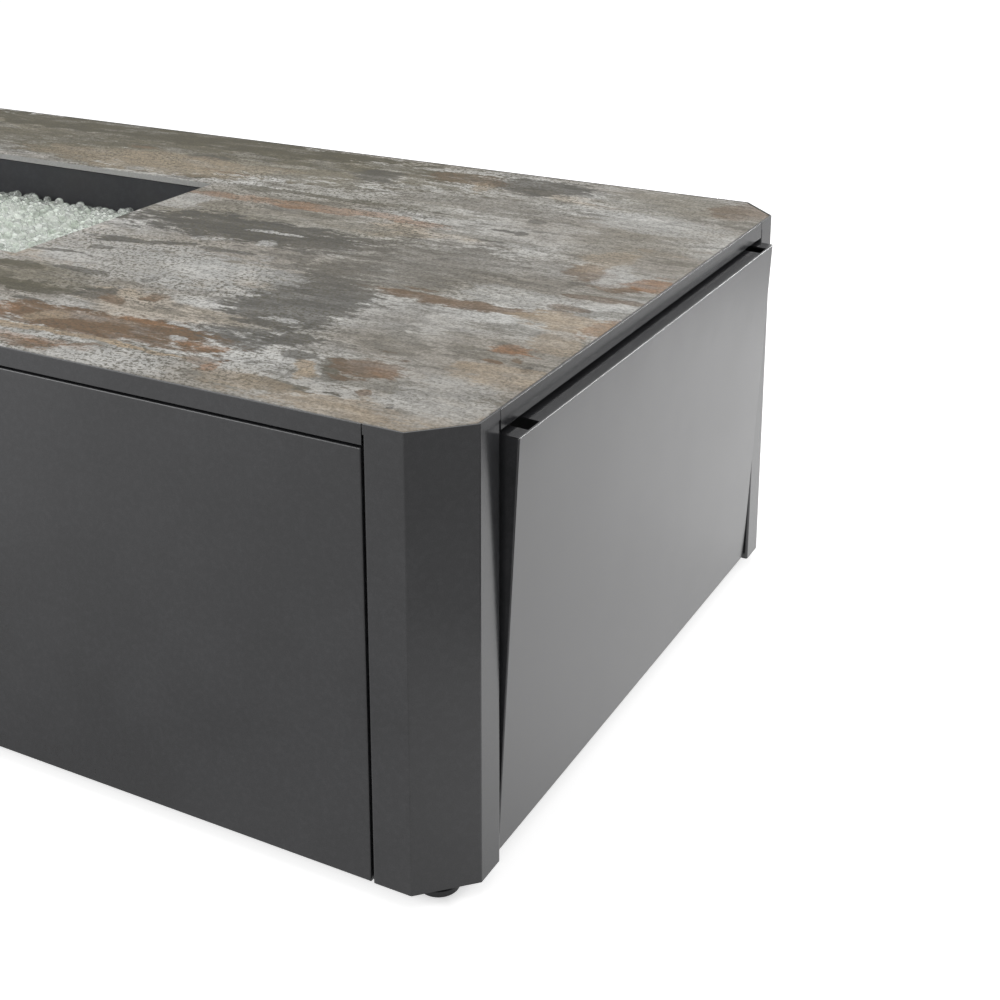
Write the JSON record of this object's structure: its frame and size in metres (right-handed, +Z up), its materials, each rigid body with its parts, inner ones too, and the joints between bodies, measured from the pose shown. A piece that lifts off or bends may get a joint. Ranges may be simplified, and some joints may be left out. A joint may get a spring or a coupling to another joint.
{
  "type": "fire pit table",
  "caption": "Long low gas fire pit table: stone-look top, central glass-filled burner well, dark panelled base with cut corners and a push-open end door.",
  "frame": {"origin": "on the floor below the centre of the table top", "axes": "+X along the table towards the end with the access door, +Y towards the back long side, +Z up"},
  "size_m": [1.9198, 0.762, 0.419],
  "materials": {
    "powder_coat": "fine matt charcoal powder coat",
    "frame_black": "matt black paint",
    "porcelain": "satin glazed porcelain with a weathered oxidised metal look",
    "silicone": "soft black silicone",
    "heat_black": "matt heat-resistant black paint",
    "stainless": "brushed stainless steel",
    "galvanised": "galvanised sheet",
    "zinc": "zinc-plated steel",
    "nickel": "nickel-plated magnet",
    "brass": "machined brass",
    "copper": "drawn copper",
    "valve_alloy": "die-cast alloy",
    "black_plastic": "moulded black plastic",
    "ceramic": "white glazed ceramic",
    "wire_cover": "black insulated wire",
    "clear_glass": "clear pale green tumbled glass beads"
  },
  "bodies": {
    "base": {"air_mixer": "galvanised", "base_rails": "frame_black", "bracket_screws": "zinc", "burner_loop": "stainless", "burner_pan": "stainless", "control_bracket": "frame_black", "corner_gussets": "frame_black", "cross_beams": "frame_black", "door_sill": "frame_black", "feed_elbow": "brass", "feed_locknuts": "zinc", "gas_flex_line": "stainless", "gas_inlet": "brass", "gas_outlet": "brass", "gas_valve": "valve_alloy", "glass_media": "clear_glass", "heat_shield": "galvanised", "igniter_module": "black_plastic", "igniter_nut": "black_plastic", "igniter_wire": "wire_cover", "knob_bezel": "galvanised", "latch_brackets": "frame_black", "latch_housings": "black_plastic", "leveller_nuts": "zinc", "orifice_fitting": "brass", "panel_back": "powder_coat", "panel_front": "powder_coat", "panel_left": "powder_coat", "panel_screws": "zinc", "panel_spacers": "black_plastic", "panel_stiffeners": "frame_black", "pilot_hood": "stainless", "pivot_bushes": "black_plastic", "post_back_left": "powder_coat", "post_back_right": "powder_coat", "post_front_left": "powder_coat", "post_front_right": "powder_coat", "slab_pads": "silicone", "slab_top": "porcelain", "spark_electrode": "ceramic", "thermocouple": "copper", "top_rail_back": "powder_coat", "top_rail_front": "powder_coat", "top_rail_left": "powder_coat", "top_rail_right": "powder_coat", "well_liner": "heat_black", "well_side_beams": "frame_black"},
    "latch": {"latch_plungers": "black_plastic", "latch_magnets": "nickel"},
    "door": {"door_panel": "powder_coat", "door_stiffeners": "frame_black", "door_strikes": "zinc", "door_pivot_pins": "zinc"},
    "valve_stem": {"valve_stem": "stainless"},
    "control_knob": {"control_knob": "black_plastic"},
    "igniter_button": {"igniter_button": "black_plastic"},
    "leveller_front_left": {"leveller_front_left": "black_plastic"},
    "leveller_front_right": {"leveller_front_right": "black_plastic"},
    "leveller_back_left": {"leveller_back_left": "black_plastic"},
    "leveller_back_right": {"leveller_back_right": "black_plastic"}
  },
  "joints": [
    {"name": "latch_push", "type": "hinge", "parent": "base", "child": "latch", "pos_m": [0.937, 0, 0.028], "axis": [0, 1, 0], "range_deg": [-2.85, 0], "stiffness_Nm_per_rad": 60, "springref_deg": 1.72},
    {"name": "door_swing", "type": "hinge", "parent": "latch", "child": "door", "pos_m": [0.937, 0, 0.028], "axis": [0, 1, 0], "range_deg": [0, 87]},
    {"name": "knob_push", "type": "slide", "parent": "base", "child": "valve_stem", "axis": [-1, 0, 0], "range_m": [0, 0.004], "stiffness_N_per_m": 800, "springref_m": -0.003},
    {"name": "knob_turn", "type": "hinge", "parent": "valve_stem", "child": "control_knob", "pos_m": [0.82, -0.06, 0.34], "axis": [1, 0, 0], "range_deg": [0, 180]},
    {"name": "igniter_press", "type": "slide", "parent": "base", "child": "igniter_button", "axis": [-1, 0, 0], "range_m": [0, 0.004], "stiffness_N_per_m": 1200, "springref_m": -0.003},
    {"name": "turn_leveller_front_left", "type": "hinge", "parent": "base", "child": "leveller_front_left", "pos_m": [-0.9139, -0.3424, 0], "axis": [0, 0, 1], "range_deg": [0, 2880]},
    {"name": "turn_leveller_front_right", "type": "hinge", "parent": "base", "child": "leveller_front_right", "pos_m": [0.9139, -0.3424, 0], "axis": [0, 0, 1], "range_deg": [0, 2880]},
    {"name": "turn_leveller_back_left", "type": "hinge", "parent": "base", "child": "leveller_back_left", "pos_m": [-0.9139, 0.3424, 0], "axis": [0, 0, 1], "range_deg": [0, 2880]},
    {"name": "turn_leveller_back_right", "type": "hinge", "parent": "base", "child": "leveller_back_right", "pos_m": [0.9139, 0.3424, 0], "axis": [0, 0, 1], "range_deg": [0, 2880]}
  ]
}
